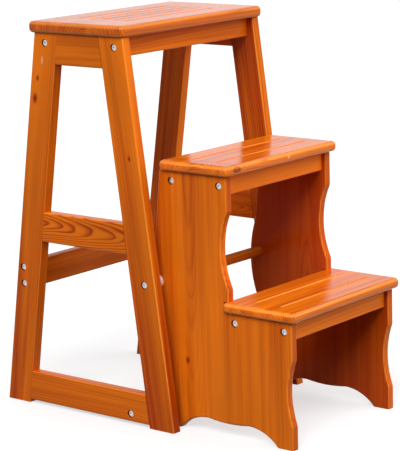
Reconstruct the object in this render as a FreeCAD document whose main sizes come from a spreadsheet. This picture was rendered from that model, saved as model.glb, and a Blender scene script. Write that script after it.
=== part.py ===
# Folding step stool: a seat on an A-shaped frame, and a unit of two treads that
# turns half a turn about one axis, from in front of the frame to inside it.
# Millimetres. X runs across, -Y to the front where the treads are, +Z up.
# The origin is on the floor in the middle of the outline, steps down.
import FreeCAD, Part
import os
import re
import Sketcher
from FreeCAD import Placement, Rotation, Vector

doc = FreeCAD.newDocument("step_stool")
sheet = doc.addObject("Spreadsheet::Sheet", "sizes")

# Driving sizes. Distances "ahead" and "behind" are measured from the pivot axis.
DRIVING = {
    # overall
    "seat_height": 643.0, "seat_board": 19.0, "frame_width": 349.0,
    "lower_height": 218.5, "middle_height": 432.3, "tread_board": 17.0,
    # legs and rails of the side frames
    "side_board": 18.0, "leg_width": 50.0,
    "front_foot_ahead": 27.5, "front_top_behind": 53.4,
    "rear_foot_behind": 285.3, "rear_top_behind": 190.7,
    "rail_height": 50.0, "middle_rail_base": 280.0, "bottom_rail_base": 5.0,
    "leg_round": 3.0, "joint_round": 1.2, "rail_round": 2.5,
    # seat
    "seat_side": 5.5, "seat_nose": 5.0, "seat_tail": 9.5,
    "seat_round": 7.0, "seat_corner": 9.0,
    # boards across
    "apron_board": 15.0, "apron_height": 31.5, "apron_round": 2.5,
    "front_apron_in": 23.9, "rear_apron_in": 31.7,
    "brace_height": 45.0, "brace_board": 16.0, "brace_back": 10.3,
    "brace_bolt_gap": 27.7, "brace_gap": 9.8,
    "stretcher_height": 33.0, "stretcher_base": 3.0, "stretcher_behind": 37.4,
    "stretcher_bolt": 17.5, "fold_gap": 0.8,
    # step unit
    "side_gap": 17.8, "panel_board": 14.5, "running_gap": 0.3,
    "upper_ahead": 140.8, "going": 120.0, "tread_nose": 9.4, "tread_depth": 138.2,
    "tread_side": 7.3, "tread_round": 7.0, "tread_corner": 8.0, "tread_play": 0.2,
    "upper_scallop": 122.0, "upper_scallop_depth": 13.5, "upper_scallop_drop": 116.5,
    "lower_scallop": 104.0, "lower_scallop_depth": 9.5, "lower_scallop_drop": 112.0,
    "scallop_blend": 10.0, "panel_round": 3.0,
    "back_top_ahead": 7.8, "back_foot_ahead": 6.8, "back_hip_behind": 7.4,
    "hip_half": 64.0, "hip_bulge": 11.0,
    "foot_length": 31.0, "arch_height": 24.2, "arch_run": 56.0, "arch_dip": 3.2,
    "step_apron_in": 16.8, "step_apron_gap": 94.5, "step_apron_height": 31.0,
    # grooves in the treads and the seat
    "groove_width": 5.0, "groove_depth": 2.0, "groove_end": 32.0, "groove_gap": 48.0,
    "groove_lip": 0.5, "groove_cove": 1.0, "seat_groove_end": 70.0,
    "seat_groove_gap": 24.0,
    # bolts, barrel nuts and their bores
    "bolt_radius": 3.0, "bolt_play": 0.06, "bolt_reach": 30.0,
    "head_radius": 5.0, "head_height": 3.2, "head_dome": 0.6,
    "socket_corner": 2.6, "socket_depth": 2.4, "head_recess": 5.0, "head_play": 1.2,
    "nut_radius": 5.0, "nut_length": 12.0, "nut_in": 18.0,
    # pivot
    "rod_radius": 8.9, "insert_radius": 4.6, "insert_length": 20.0,
    "spacer_radius": 10.5, "pivot_reach": 17.0,
    # dowels and screws
    "dowel_radius": 4.0, "dowel_play": 0.05, "dowel_half": 15.0, "dowel_edge": 12.0,
    "front_dowel_in": 47.7, "rear_dowel_in": 40.9,
    "screw_radius": 2.0, "screw_length": 32.0, "screw_point": 5.0,
    "screw_head_radius": 3.8, "screw_head": 2.6, "screw_play": 0.4,
    "screw_inset": 45.0, "screw_cover": 6.0,
}

# Sizes that follow from the driving ones, as formulas in the same sheet
DERIVED = {
    "leg_outer": "frame_width / 2",
    "leg_inner": "leg_outer - side_board",
    "seat_under": "seat_height - seat_board",
    "stretcher_top": "stretcher_base + stretcher_height",
    "pivot_height": "(middle_height + stretcher_top + fold_gap) / 2",
    "front_slope": "(front_foot_ahead + front_top_behind) / seat_under",
    "rear_slope": "(rear_foot_behind - rear_top_behind) / seat_under",
    "front_half": "leg_width / 2 * sqrt(1 + front_slope ^ 2)",
    "rear_half": "leg_width / 2 * sqrt(1 + rear_slope ^ 2)",
    "lower_ahead": "upper_ahead + going",
    "front_extent": "lower_ahead + tread_nose",
    "pivot_y": "(front_extent - rear_foot_behind - rear_half) / 2",
    "front_foot": "pivot_y - front_foot_ahead",
    "rear_foot": "pivot_y + rear_foot_behind",
    "seat_front": "front_foot + front_slope * seat_under - front_half - seat_nose",
    "seat_back": "rear_foot - rear_slope * seat_under + rear_half + seat_tail",
    "seat_middle": "(seat_front + seat_back) / 2",
    "top_rail_base": "seat_under - rail_height",
    "apron_base": "seat_under - apron_height",
    "apron_middle": "seat_under - apron_height / 2",
    "front_apron_y": "seat_front + front_apron_in",
    "rear_apron_y": "seat_back - rear_apron_in",
    "brace_top": "2 * pivot_height - lower_height - brace_gap",
    "brace_middle": "brace_top - brace_height / 2",
    "brace_y": "rear_foot - rear_slope * brace_middle + brace_back",
    "stretcher_y": "pivot_y + stretcher_behind",
    "panel_outer": "leg_inner - side_gap",
    "panel_inner": "panel_outer - panel_board",
    "lower_ledge": "lower_height - tread_board",
    "middle_ledge": "middle_height - tread_board",
    "upper_front": "pivot_y - upper_ahead",
    "lower_front": "pivot_y - lower_ahead",
    "middle_tread_front": "upper_front - tread_nose",
    "lower_tread_front": "lower_front - tread_nose",
    "back_hip": "pivot_y + back_hip_behind",
    "back_top": "pivot_y - back_top_ahead",
    "back_foot": "pivot_y - back_foot_ahead",
    "tread_half": "panel_outer + tread_side",
    "hole_radius": "bolt_radius + bolt_play",
    "recess_radius": "head_radius + head_play",
    "pin_radius": "dowel_radius - dowel_play",
    "screw_hole": "screw_radius + dowel_play",
    "screw_mouth": "screw_head_radius + screw_play",
    "screw_crown": "0.8 * screw_head_radius",
    "dome_bow": "0.3 * head_dome",
    "groove_bow": "0.49 * groove_width",
}


def fill_sheet():
    """Write both tables into the sheet, one row each: name, then size."""
    rows = list(DRIVING.items()) + [(k, "=" + v) for k, v in DERIVED.items()]
    for row, (name, size) in enumerate(rows, start=1):
        sheet.set("A%d" % row, name)
        sheet.set("B%d" % row, str(size))
        sheet.setAlias("B%d" % row, name)
    doc.recompute()


fill_sheet()
NAMES = set(DRIVING) | set(DERIVED)
PARTS = []


def bind(text):
    """The expression with every size name pointing into the sheet."""
    return re.sub(r"[a-z_]+", lambda w: "<<sizes>>." + w[0] if w[0] in NAMES else w[0],
                  str(text))


def value(text):
    """The number that an expression on the sheet's sizes comes to."""
    return float(sheet.evalExpression(str(text)))


def part(label):
    """A new body that is written out under this label."""
    body = doc.addObject("PartDesign::Body", label)
    body.Label = label
    PARTS.append(body)
    return body


def sketch_on(body, plane, offset="0"):
    """A sketch on an origin plane, moved along the axis that the plane is square to."""
    sketch = body.newObject("Sketcher::SketchObject", "sketch")
    planes = {f.Role: f for f in body.Origin.OriginFeatures}
    sketch.AttachmentSupport = [(planes[plane + "_Plane"], "")]
    sketch.MapMode = "FlatFace"
    sign = "-" if plane == "XZ" else ""
    sketch.setExpression("AttachmentOffset.Base.z", "%s(%s)" % (sign, bind(offset)))
    return sketch


def fix_point(sketch, geometry, end, point):
    """Hold one point of the sketch at two expressions measured from the origin."""
    for kind, text in zip(("DistanceX", "DistanceY"), point):
        rule = Sketcher.Constraint(kind, -1, 1, geometry, end, value(text))
        sketch.setExpression("Constraints[%d]" % sketch.addConstraint(rule), bind(text))


def outline(sketch, points, bulges=None):
    """A closed outline. bulges[i] is how far edge i bows out to the right of its run."""
    bulges = bulges or {}
    places = [Vector(value(u), value(v), 0) for u, v in points]
    starts = []
    ends = []
    for i, start in enumerate(places):
        stop = places[(i + 1) % len(places)]
        if i in bulges:
            run = stop - start
            side = Vector(run.y, -run.x, 0) / run.Length
            middle = (start + stop) / 2 + side * value(bulges[i])
            sketch.addGeometry(Part.Arc(start, middle, stop))
        else:
            sketch.addGeometry(Part.LineSegment(start, stop))
        forward = (sketch.getPoint(i, 1) - start).Length < 1e-3
        starts.append(1 if forward else 2)
        ends.append(2 if forward else 1)
    for i, point in enumerate(points):
        after = (i + 1) % len(points)
        sketch.addConstraint(Sketcher.Constraint("Coincident", i, ends[i], after,
                                                 starts[after]))
        fix_point(sketch, i, starts[i], point)
    for i, bulge in bulges.items():
        (u0, v0), (u1, v1) = points[i], points[(i + 1) % len(points)]
        chord = "((%s) - (%s)) ^ 2 + ((%s) - (%s)) ^ 2" % (u1, u0, v1, v0)
        radius = "((%s) / 4 + (%s) ^ 2) / (2 * abs(%s))" % (chord, bulge, bulge)
        rule = Sketcher.Constraint("Radius", i, value(radius))
        sketch.setExpression("Constraints[%d]" % sketch.addConstraint(rule), bind(radius))


def circles(sketch, centres, radius):
    """Circles of one radius at these centres."""
    for i, centre in enumerate(centres):
        place = Vector(value(centre[0]), value(centre[1]), 0)
        sketch.addGeometry(Part.Circle(place, Vector(0, 0, 1), value(radius)))
        fix_point(sketch, i, 3, centre)
        rule = Sketcher.Constraint("Radius", i, value(radius))
        sketch.setExpression("Constraints[%d]" % sketch.addConstraint(rule), bind(radius))


def pad(body, sketch, length, reverse=False, middle=False):
    """Give the sketch a thickness: along its normal, against it, or half each way."""
    feature = body.newObject("PartDesign::Pad", "pad")
    feature.Profile = sketch
    feature.setExpression("Length", bind(length))
    feature.Reversed = reverse
    feature.Midplane = middle
    doc.recompute()
    return feature


def cut(body, sketch, length, reverse=False, middle=False):
    """Cut the sketch into the body, and make sure that something was cut."""
    before = body.Shape.Volume
    feature = body.newObject("PartDesign::Pocket", "pocket")
    feature.Profile = sketch
    feature.setExpression("Length", bind(length))
    feature.Reversed = reverse
    feature.Midplane = middle
    doc.recompute()
    if body.Shape.Volume > before - 0.1:
        raise RuntimeError("a cut took nothing from " + body.Label)
    return feature


def bore(body, axis, centres, start, stop, radius):
    """Round holes along X, Y or Z between two places on that axis."""
    plane = {"X": "YZ", "Y": "XZ", "Z": "XY"}[axis]
    sketch = sketch_on(body, plane, start)
    circles(sketch, centres, radius)
    upward = value(stop) > value(start)
    away = upward if axis != "Y" else not upward
    length = "(%s) - (%s)" % ((stop, start) if upward else (start, stop))
    return cut(body, sketch, length, reverse=away)


def soften(body, radius, wanted):
    """Round the edges of the body's last shape that the test picks out."""
    base = body.Tip
    names = ["Edge%d" % n for n, e in enumerate(body.Shape.Edges, start=1) if wanted(e)]
    feature = body.newObject("PartDesign::Fillet", "round")
    feature.Base = (base, names)
    feature.setExpression("Radius", bind(radius))
    doc.recompute()
    return feature


def lies_in(edge, axis):
    """True if the edge keeps one value along this axis."""
    box = edge.BoundBox
    return {"x": box.XLength, "y": box.YLength, "z": box.ZLength}[axis] < 1e-3


def runs_along_x(edge):
    return lies_in(edge, "y") and lies_in(edge, "z")


def sides(side, text):
    """The expression for a place across the stool, on this side of the middle."""
    return "(%s)" % text if side > 0 else "-(%s)" % text


SIDES = {"left": -1, "right": 1}


# Side frames: two legs and three rails in one plane, joined edge to end with dowels
def front_leg_y(edge, height):
    """Y of the front leg's edge (-1 front, 0 middle, 1 rear) at this height."""
    return "front_foot + front_slope * (%s) + (%d) * front_half" % (height, edge)


def rear_leg_y(edge, height):
    """Y of the rear leg's edge (-1 front, 0 middle, 1 rear) at this height."""
    return "rear_foot - rear_slope * (%s) + (%d) * rear_half" % (height, edge)


RAILS = {"top_rail": "top_rail_base", "middle_rail": "middle_rail_base",
         "bottom_rail": "bottom_rail_base"}


def dowel_heights(base):
    return [base + " + dowel_edge", base + " + rail_height - dowel_edge"]


def rail_bores(body, side, leg_y, edge, base):
    """Two dowel holes along Y across one joint of a rail and a leg."""
    joint = leg_y(edge, base + " + rail_height / 2")
    centres = [(sides(side, "leg_inner + side_board / 2"), z) for z in dowel_heights(base)]
    bore(body, "Y", centres, joint + " - dowel_half", joint + " + dowel_half",
         "dowel_radius")


def bolt_seat(body, side, centres, outer, board):
    """Bores for bolts through a side board, with a deep seat that sinks each head."""
    face = sides(side, outer)
    bore(body, "X", centres, face, sides(side, "%s - %s" % (outer, board)), "hole_radius")
    bore(body, "X", centres, face, sides(side, outer + " - head_recess"), "recess_radius")


def side_board(label, side, inner, board, points, bulges=None):
    """A board that stands in the plane of a side frame, from its inner face outwards."""
    body = part(label)
    sketch = sketch_on(body, "YZ", sides(side, inner))
    outline(sketch, points, bulges)
    pad(body, sketch, board, reverse=side < 0)
    return body


def leg(label, side, leg_y, outside, bolts):
    """One leg: outside is -1 where its front edge is the frame's outline, 1 for rear."""
    points = [(leg_y(-1, "0"), "0"), (leg_y(1, "0"), "0"),
              (leg_y(1, "seat_under"), "seat_under"), (leg_y(-1, "seat_under"), "seat_under")]
    body = side_board(label, side, "leg_inner", "side_board", points)
    middle = body.Shape.CenterOfMass.y

    def long_edges(towards):
        """A test for the long edges on one side of the leg's middle, 1 for the rear."""
        def wanted(edge):
            upright = lies_in(edge, "x") and not lies_in(edge, "z")
            return upright and (edge.CenterOfMass.y - middle) * towards > 0
        return wanted

    soften(body, "leg_round", long_edges(outside))
    soften(body, "joint_round", long_edges(-outside))
    for base in RAILS.values():
        rail_bores(body, side, leg_y, -outside, base)
    bolt_seat(body, side, bolts, "leg_outer", "side_board")
    return body


def rail(label, side, base):
    """A rail between the legs, its ends cut to their slopes."""
    top = base + " + rail_height"
    points = [(front_leg_y(1, base), base), (rear_leg_y(-1, base), base),
              (rear_leg_y(-1, top), top), (front_leg_y(1, top), top)]
    body = side_board(label, side, "leg_inner", "side_board", points)
    open_edges = [z for z in (value(base), value(top)) if z < value("seat_under") - 1]

    def opens(edge):
        level = lies_in(edge, "x") and lies_in(edge, "z")
        return level and any(abs(edge.CenterOfMass.z - z) < 0.1 for z in open_edges)

    soften(body, "rail_round", opens)
    rail_bores(body, side, front_leg_y, 1, base)
    rail_bores(body, side, rear_leg_y, -1, base)
    return body


APRON_BOLTS = {"front": ("front_apron_y", "apron_middle"),
               "rear": ("rear_apron_y", "apron_middle")}
BRACE_BOLTS = [("brace_y", "brace_middle + brace_bolt_gap / 2"),
               ("brace_y", "brace_middle - brace_bolt_gap / 2")]
STRETCHER_BOLT = ("stretcher_y", "stretcher_bolt")
PIVOT = ("pivot_y", "pivot_height")


def side_frame(name, side):
    front = leg(name + "_front_leg", side, front_leg_y, -1, [APRON_BOLTS["front"]])
    # the head of the pivot bolt turns in a seat of its own, with the bolt in the bore
    bore(front, "X", [PIVOT], sides(side, "leg_outer"), sides(side, "leg_inner"),
         "hole_radius")
    bore(front, "X", [PIVOT], sides(side, "leg_outer"),
         sides(side, "leg_outer - head_recess"), "recess_radius")
    leg(name + "_rear_leg", side, rear_leg_y, 1, [APRON_BOLTS["rear"]] + BRACE_BOLTS)
    for kind, base in RAILS.items():
        body = rail(name + "_" + kind, side, base)
        if kind == "bottom_rail":
            bolt_seat(body, side, [STRETCHER_BOLT], "leg_outer", "side_board")
        if kind == "top_rail":
            centres = [(sides(side, "leg_inner + side_board / 2"), y) for y in SEAT_DOWELS]
            bore(body, "Z", centres, "seat_under", "seat_under - dowel_half", "dowel_radius")


SEAT_DOWELS = ["seat_middle - dowel_half", "seat_middle + dowel_half"]


# Boards across, each held by bolts into barrel nuts in its ends
def cross_board(label, half, y, base, height, board, bolts, nut_side, open_top):
    """A board from side to side. nut_side is 1 if its barrel nuts enter from behind."""
    body = part(label)
    sketch = sketch_on(body, "YZ")
    front, back = "%s - %s / 2" % (y, board), "%s + %s / 2" % (y, board)
    top = base + " + " + height
    outline(sketch, [(front, base), (back, base), (back, top), (front, top)])
    pad(body, sketch, "2 * " + half, middle=True)
    low = value(base) + 1

    def bare(edge):
        return runs_along_x(edge) and (open_top or edge.CenterOfMass.z < low)

    soften(body, "apron_round", bare)
    for side in SIDES.values():
        end = sides(side, half)
        inside = sides(side, half + " - bolt_reach")
        bore(body, "X", bolts, end, inside, "hole_radius")
    # the barrel nut lies across the board with its thread on the bolt's axis
    face = back if nut_side > 0 else front
    bottom = "%s - (%d) * nut_length / 2" % (y, nut_side)
    centres = [(sides(s, half + " - nut_in"), z) for s in SIDES.values() for _, z in bolts]
    bore(body, "Y", centres, face, bottom, "nut_radius")
    return body


def screw_holes(body, x_places, y, base, height, cover):
    """Holes for the screws that go up through an apron, each with a mouth for its head."""
    centres = [(x, y) for x in x_places]
    bore(body, "Z", centres, base, "%s + %s" % (base, height), "screw_hole")
    bore(body, "Z", centres, base, "%s + %s" % (base, cover), "screw_mouth")


def screw_places(half):
    return [sides(s, half + " - screw_inset") for s in SIDES.values()]


def seat_aprons():
    for name, nut_side in (("front", 1), ("rear", -1)):
        y, z = APRON_BOLTS[name]
        body = cross_board(name + "_apron", "leg_inner", y, "apron_base", "apron_height",
                           "apron_board", [(y, z)], nut_side, False)
        screw_holes(body, screw_places("leg_inner"), y, "apron_base", "apron_height",
                    "screw_cover")


def brace_and_stretcher():
    cross_board("rear_brace", "leg_inner", "brace_y", "brace_top - brace_height",
                "brace_height", "brace_board", BRACE_BOLTS, -1, True)
    cross_board("floor_stretcher", "leg_inner", "stretcher_y", "stretcher_base",
                "stretcher_height", "apron_board", [STRETCHER_BOLT], 1, True)


# Seat and treads: rounded boards with stopped grooves against slipping
def tread(label, half, front, back, top, board, corner, rounding, grooves, groove_end):
    """A board with rounded corners and edges, and grooves that stop short of its ends."""
    body = part(label)
    sketch = sketch_on(body, "XY", "%s - %s" % (top, board))
    outline(sketch, [("-" + half, front), (half, front), (half, back), ("-" + half, back)])
    pad(body, sketch, board)
    soften(body, corner, lambda e: lies_in(e, "x") and lies_in(e, "y"))
    soften(body, rounding, lambda e: lies_in(e, "z"))
    reach = "(%s - %s)" % (half, groove_end)
    for y in grooves:
        sketch = sketch_on(body, "XY", top)
        low, high = y + " - groove_width / 2", y + " + groove_width / 2"
        ends = [("-" + reach, low), (reach, low), (reach, high), ("-" + reach, high)]
        outline(sketch, ends, {1: "groove_bow", 3: "groove_bow"})
        cut(body, sketch, "groove_depth")

    def groove_edges(height):
        """A test for the edges that run round a groove at this height."""
        def wanted(edge):
            centre = edge.CenterOfMass
            level = lies_in(edge, "z") and abs(centre.z - value(height)) < 0.01
            inside = abs(centre.x) < value(reach + " + groove_width")
            beside = any(abs(centre.y - value(y)) < value("groove_width") for y in grooves)
            return level and inside and beside
        return wanted

    soften(body, "groove_cove", groove_edges("%s - groove_depth" % top))
    soften(body, "groove_lip", groove_edges(top))
    return body


def seat():
    grooves = ["seat_middle + (%d) * seat_groove_gap" % n for n in range(-2, 3)]
    body = tread("seat_board", "(leg_outer + seat_side)", "seat_front", "seat_back",
                 "seat_height", "seat_board", "seat_corner", "seat_round", grooves,
                 "seat_groove_end")
    screws = [(x, y) for x in screw_places("leg_inner") for y, _ in APRON_BOLTS.values()]
    bore(body, "Z", screws, "seat_under", "apron_base + screw_cover + screw_length",
         "screw_hole")
    dowels = [(sides(s, "leg_inner + side_board / 2"), y)
              for s in SIDES.values() for y in SEAT_DOWELS]
    bore(body, "Z", dowels, "seat_under", "seat_under + seat_board / 2", "dowel_radius")


STEPS = {"middle": ("middle_tread_front", "middle_height", "middle_ledge"),
         "lower": ("lower_tread_front", "lower_height", "lower_ledge")}


def step_bolts(name):
    """Y and Z of the bolts of the front and rear apron under one tread."""
    front, _, ledge = STEPS[name]
    first = front + " + step_apron_in + apron_board / 2"
    z = ledge + " - step_apron_height / 2"
    return [(first, z), (first + " + step_apron_gap", z)]


def step_dowels(name):
    """Y of the dowels that stand in a panel's ledge under one tread."""
    front = STEPS[name][0]
    return [front + " + front_dowel_in", front + " + tread_depth - rear_dowel_in"]


def steps():
    for name, (front, height, ledge) in STEPS.items():
        back = front + " + tread_depth"
        middle = front + " + tread_depth / 2"
        grooves = ["%s + (%s) * groove_gap" % (middle, n) for n in (-0.5, 0.5)]
        body = tread(name + "_tread", "tread_half", front, back, height, "tread_board",
                     "tread_corner", "tread_round", grooves, "groove_end")
        bolts = step_bolts(name)
        screws = [(x, y) for x in screw_places("panel_inner") for y, _ in bolts]
        under = ledge + " - step_apron_height"
        bore(body, "Z", screws, ledge, under + " + screw_cover + screw_length",
             "screw_hole")
        dowels = [(sides(s, "panel_inner + panel_board / 2"), y)
                  for s in SIDES.values() for y in step_dowels(name)]
        bore(body, "Z", dowels, ledge, ledge + " + tread_board / 2", "dowel_radius")
        for place, bolt, nut_side in (("front", bolts[0], 1), ("rear", bolts[1], -1)):
            board = cross_board("%s_%s_apron" % (name, place), "panel_inner", bolt[0],
                                under, "step_apron_height", "apron_board", [bolt],
                                nut_side, False)
            screw_holes(board, screw_places("panel_inner"), bolt[0], under,
                        "step_apron_height", "screw_cover")


# Step panel: one board whose outline carries both treads. Its front has two
# scallops, its back swells round the pivot, and its foot is cut to an arch.
def step_panel(name, side):
    upper_mid = "(middle_ledge - upper_scallop_drop)"
    lower_mid = "(lower_ledge - lower_scallop_drop)"
    upper_tips = [upper_mid + " + upper_scallop / 2", upper_mid + " - upper_scallop / 2"]
    lower_tips = [lower_mid + " + lower_scallop / 2", lower_mid + " - lower_scallop / 2"]
    notch = "lower_tread_front + tread_depth + tread_play"
    hip = "pivot_height - hip_bulge"
    arch_front = "lower_front + foot_length"
    arch_back = "back_foot - foot_length"
    points = [
        ("lower_front", "0"), (arch_front, "0"),
        (arch_front + " + arch_run", "arch_height"),
        (arch_back + " - arch_run", "arch_height"),
        (arch_back, "0"), ("back_foot", "0"),
        ("back_hip", "%s - hip_half" % hip), ("back_hip", "%s + hip_half" % hip),
        ("back_top", "middle_ledge"), ("upper_front", "middle_ledge"),
        ("upper_front", upper_tips[0]), ("upper_front", upper_tips[1]),
        ("upper_front", "lower_height + tread_play"), (notch, "lower_height + tread_play"),
        (notch, "lower_ledge"), ("lower_front", "lower_ledge"),
        ("lower_front", lower_tips[0]), ("lower_front", lower_tips[1]),
    ]
    # an arch side is a quarter of a circle cut short, level where it meets the middle
    chord = "sqrt(arch_run ^ 2 + arch_height ^ 2)"
    swell = "(arch_height ^ 2 + arch_run ^ 2) / (2 * arch_height)"
    rise = "%s - sqrt((%s) ^ 2 - (%s) ^ 2 / 4)" % (swell, swell, chord)
    bulges = {1: "-(%s)" % rise, 2: "arch_dip", 3: "-(%s)" % rise, 6: "hip_bulge",
              10: "-upper_scallop_depth", 16: "-lower_scallop_depth"}
    body = side_board(name + "_step_panel", side, "panel_inner", "panel_board", points,
                      bulges)
    tips = [value(z) for z in upper_tips + lower_tips]
    front = value("upper_front") + 1

    def scallop_tip(edge):
        centre = edge.CenterOfMass
        at_tip = any(abs(centre.z - z) < 0.5 for z in tips)
        return runs_along_x(edge) and centre.y < front and at_tip

    soften(body, "scallop_blend", scallop_tip)

    # every edge but the level ones, where it stands or carries a tread, and the notch
    for face in ("panel_inner", "panel_outer"):
        def bare(edge):
            centre = edge.CenterOfMass
            on_face = lies_in(edge, "x") and abs(abs(centre.x) - value(face)) < 0.1
            in_notch = abs(centre.y - value(notch)) < 0.5
            return on_face and not lies_in(edge, "z") and not in_notch

        soften(body, "panel_round", bare)
    bolts = [b for n in STEPS for b in step_bolts(n)]
    bolt_seat(body, side, bolts, "panel_outer", "panel_board")
    bore(body, "X", [PIVOT], sides(side, "panel_outer"), sides(side, "panel_inner"),
         "hole_radius")
    for name, (_, _, ledge) in STEPS.items():
        centres = [(sides(side, "panel_inner + panel_board / 2"), y)
                   for y in step_dowels(name)]
        bore(body, "Z", centres, ledge, ledge + " - dowel_half", "dowel_radius")


# Pivot rod: a round rod between the panels, with a bore for an insert in each end
def pivot_rod():
    body = part("pivot_rod")
    sketch = sketch_on(body, "YZ")
    circles(sketch, [PIVOT], "rod_radius")
    pad(body, sketch, "2 * panel_inner", middle=True)
    for side in SIDES.values():
        bore(body, "X", [PIVOT], sides(side, "panel_inner"),
             sides(side, "panel_inner - insert_length"), "insert_radius")


# Fasteners: each kind is modelled once, standing on Z, and placed by links
def turned(label, points, bulges=None):
    """A round master piece: its half outline in XZ, turned about Z."""
    body = doc.addObject("PartDesign::Body", label)
    sketch = sketch_on(body, "XZ")
    outline(sketch, points, bulges)
    feature = body.newObject("PartDesign::Revolution", "turn")
    feature.Profile = sketch
    feature.ReferenceAxis = (sketch, ["V_Axis"])
    feature.Angle = 360
    doc.recompute()
    return body


def bolt(label, length):
    """A flat furniture bolt: domed head over z = 0, hexagon socket, plain shank."""
    points = [("0", "-(%s)" % length), ("bolt_radius", "-(%s)" % length),
              ("bolt_radius", "0"), ("head_radius", "0"), ("head_radius", "head_height"),
              ("0", "head_height + head_dome")]
    body = turned(label, points, {4: "dome_bow"})
    sketch = sketch_on(body, "XY", "head_height + 2 * head_dome")
    corners = [("socket_corner * cos(%d)" % (60 * n), "socket_corner * sin(%d)" % (60 * n))
               for n in range(6)]
    outline(sketch, corners)
    cut(body, sketch, "socket_depth + head_dome")
    return body


def screw(label):
    """A pan-head wood screw: head under z = 0, shank up to a point."""
    points = [("0", "-screw_head"), ("screw_crown", "-screw_head"),
              ("screw_head_radius", "-screw_head / 2"), ("screw_head_radius", "0"),
              ("screw_radius", "0"), ("screw_radius", "screw_length - screw_point"),
              ("0", "screw_length")]
    return turned(label, points)


def rod(label, radius, length, bore_radius=None):
    """A plain cylinder from z = 0 up, with a bore through it if one is given."""
    shape = doc.addObject("Part::Cylinder", label + "_rod")
    shape.setExpression("Radius", bind(radius))
    shape.setExpression("Height", bind(length))
    if bore_radius is None:
        return shape
    hole = doc.addObject("Part::Cylinder", label + "_hole")
    hole.setExpression("Radius", bind(bore_radius))
    hole.setExpression("Height", bind(length))
    ring = doc.addObject("Part::Cut", label)
    ring.Base = shape
    ring.Tool = hole
    return ring


def barrel_nut(label):
    """A barrel nut: a cylinder along Z round the origin, its threaded bore along X."""
    shape = rod(label + "_barrel", "nut_radius - dowel_play", "nut_length")
    shape.setExpression("Placement.Base.z", bind("-nut_length / 2"))
    hole = doc.addObject("Part::Cylinder", label + "_thread")
    hole.setExpression("Radius", bind("hole_radius"))
    hole.setExpression("Height", bind("4 * nut_radius"))
    hole.Placement.Rotation = Rotation(Vector(0, 1, 0), 90)
    hole.setExpression("Placement.Base.x", bind("-2 * nut_radius"))
    nut = doc.addObject("Part::Cut", label)
    nut.Base = shape
    nut.Tool = hole
    return nut


def group(label, master, places):
    """One node of identical pieces: a link to the master at each place."""
    links = []
    for x, y, z, turn in places:
        link = doc.addObject("App::Link", label + "_link")
        link.LinkedObject = master
        link.Placement = Placement(Vector(), turn)
        for axis, text in zip("xyz", (x, y, z)):
            link.setExpression("Placement.Base." + axis, bind(text))
        links.append(link)
    compound = doc.addObject("Part::Compound", label)
    compound.Label = label
    compound.Links = links
    PARTS.append(compound)


UPRIGHT = Rotation()
OUTWARD = {s: Rotation(Vector(0, 1, 0), 90 * s) for s in SIDES.values()}
BACKWARD = Rotation(Vector(1, 0, 0), -90)


def bolts_at(centres, face):
    return [(sides(s, face), y, z, OUTWARD[s]) for s in SIDES.values() for y, z in centres]


def nuts_at(bolts, half):
    return [(sides(s, half + " - nut_in"), y, z, BACKWARD)
            for s in SIDES.values() for y, z in bolts]


def dowels_at(side, base):
    """The four dowels of one rail."""
    places = []
    for leg_y, edge in ((front_leg_y, 1), (rear_leg_y, -1)):
        joint = leg_y(edge, base + " + rail_height / 2")
        for z in dowel_heights(base):
            places.append((sides(side, "leg_inner + side_board / 2"),
                           joint + " - dowel_half", z, BACKWARD))
    return places


def frame_fasteners():
    aprons = list(APRON_BOLTS.values())
    frame_bolt = bolt("frame_bolt", "side_board - head_recess + bolt_reach")
    nut = barrel_nut("nut")
    face = "leg_outer - head_recess"
    group("seat_apron_bolts", frame_bolt, bolts_at(aprons, face))
    group("brace_bolts", frame_bolt, bolts_at(BRACE_BOLTS, face))
    group("stretcher_bolts", frame_bolt, bolts_at([STRETCHER_BOLT], face))
    group("seat_apron_nuts", nut, nuts_at(aprons, "leg_inner"))
    group("brace_nuts", nut, nuts_at(BRACE_BOLTS, "leg_inner"))
    group("stretcher_nuts", nut, nuts_at([STRETCHER_BOLT], "leg_inner"))
    dowel = rod("rail_dowel", "pin_radius", "2 * dowel_half")
    for name, side in SIDES.items():
        places = [p for base in RAILS.values() for p in dowels_at(side, base)]
        group(name + "_rail_dowels", dowel, places)
    short = rod("seat_dowel", "pin_radius", "dowel_half + seat_board / 2")
    group("seat_dowels", short, [(sides(s, "leg_inner + side_board / 2"), y,
                                  "seat_under - dowel_half", UPRIGHT)
                                 for s in SIDES.values() for y in SEAT_DOWELS])
    group("seat_screws", screw("seat_screw"),
          [(x, y, "apron_base + screw_cover", UPRIGHT)
           for x in screw_places("leg_inner") for y, _ in aprons])
    return nut


def step_fasteners(nut):
    step_bolt = bolt("step_bolt", "panel_board - head_recess + bolt_reach")
    step_screw = screw("step_screw")
    step_dowel = rod("step_dowel", "pin_radius", "dowel_half + tread_board / 2")
    for name, (_, _, ledge) in STEPS.items():
        bolts = step_bolts(name)
        group(name + "_apron_bolts", step_bolt, bolts_at(bolts, "panel_outer - head_recess"))
        group(name + "_apron_nuts", nut, nuts_at(bolts, "panel_inner"))
        group(name + "_tread_dowels", step_dowel,
              [(sides(s, "panel_inner + panel_board / 2"), y, ledge + " - dowel_half",
                UPRIGHT) for s in SIDES.values() for y in step_dowels(name)])
        group(name + "_tread_screws", step_screw,
              [(x, y, ledge + " - step_apron_height + screw_cover", UPRIGHT)
               for x in screw_places("panel_inner") for y, _ in bolts])


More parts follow.
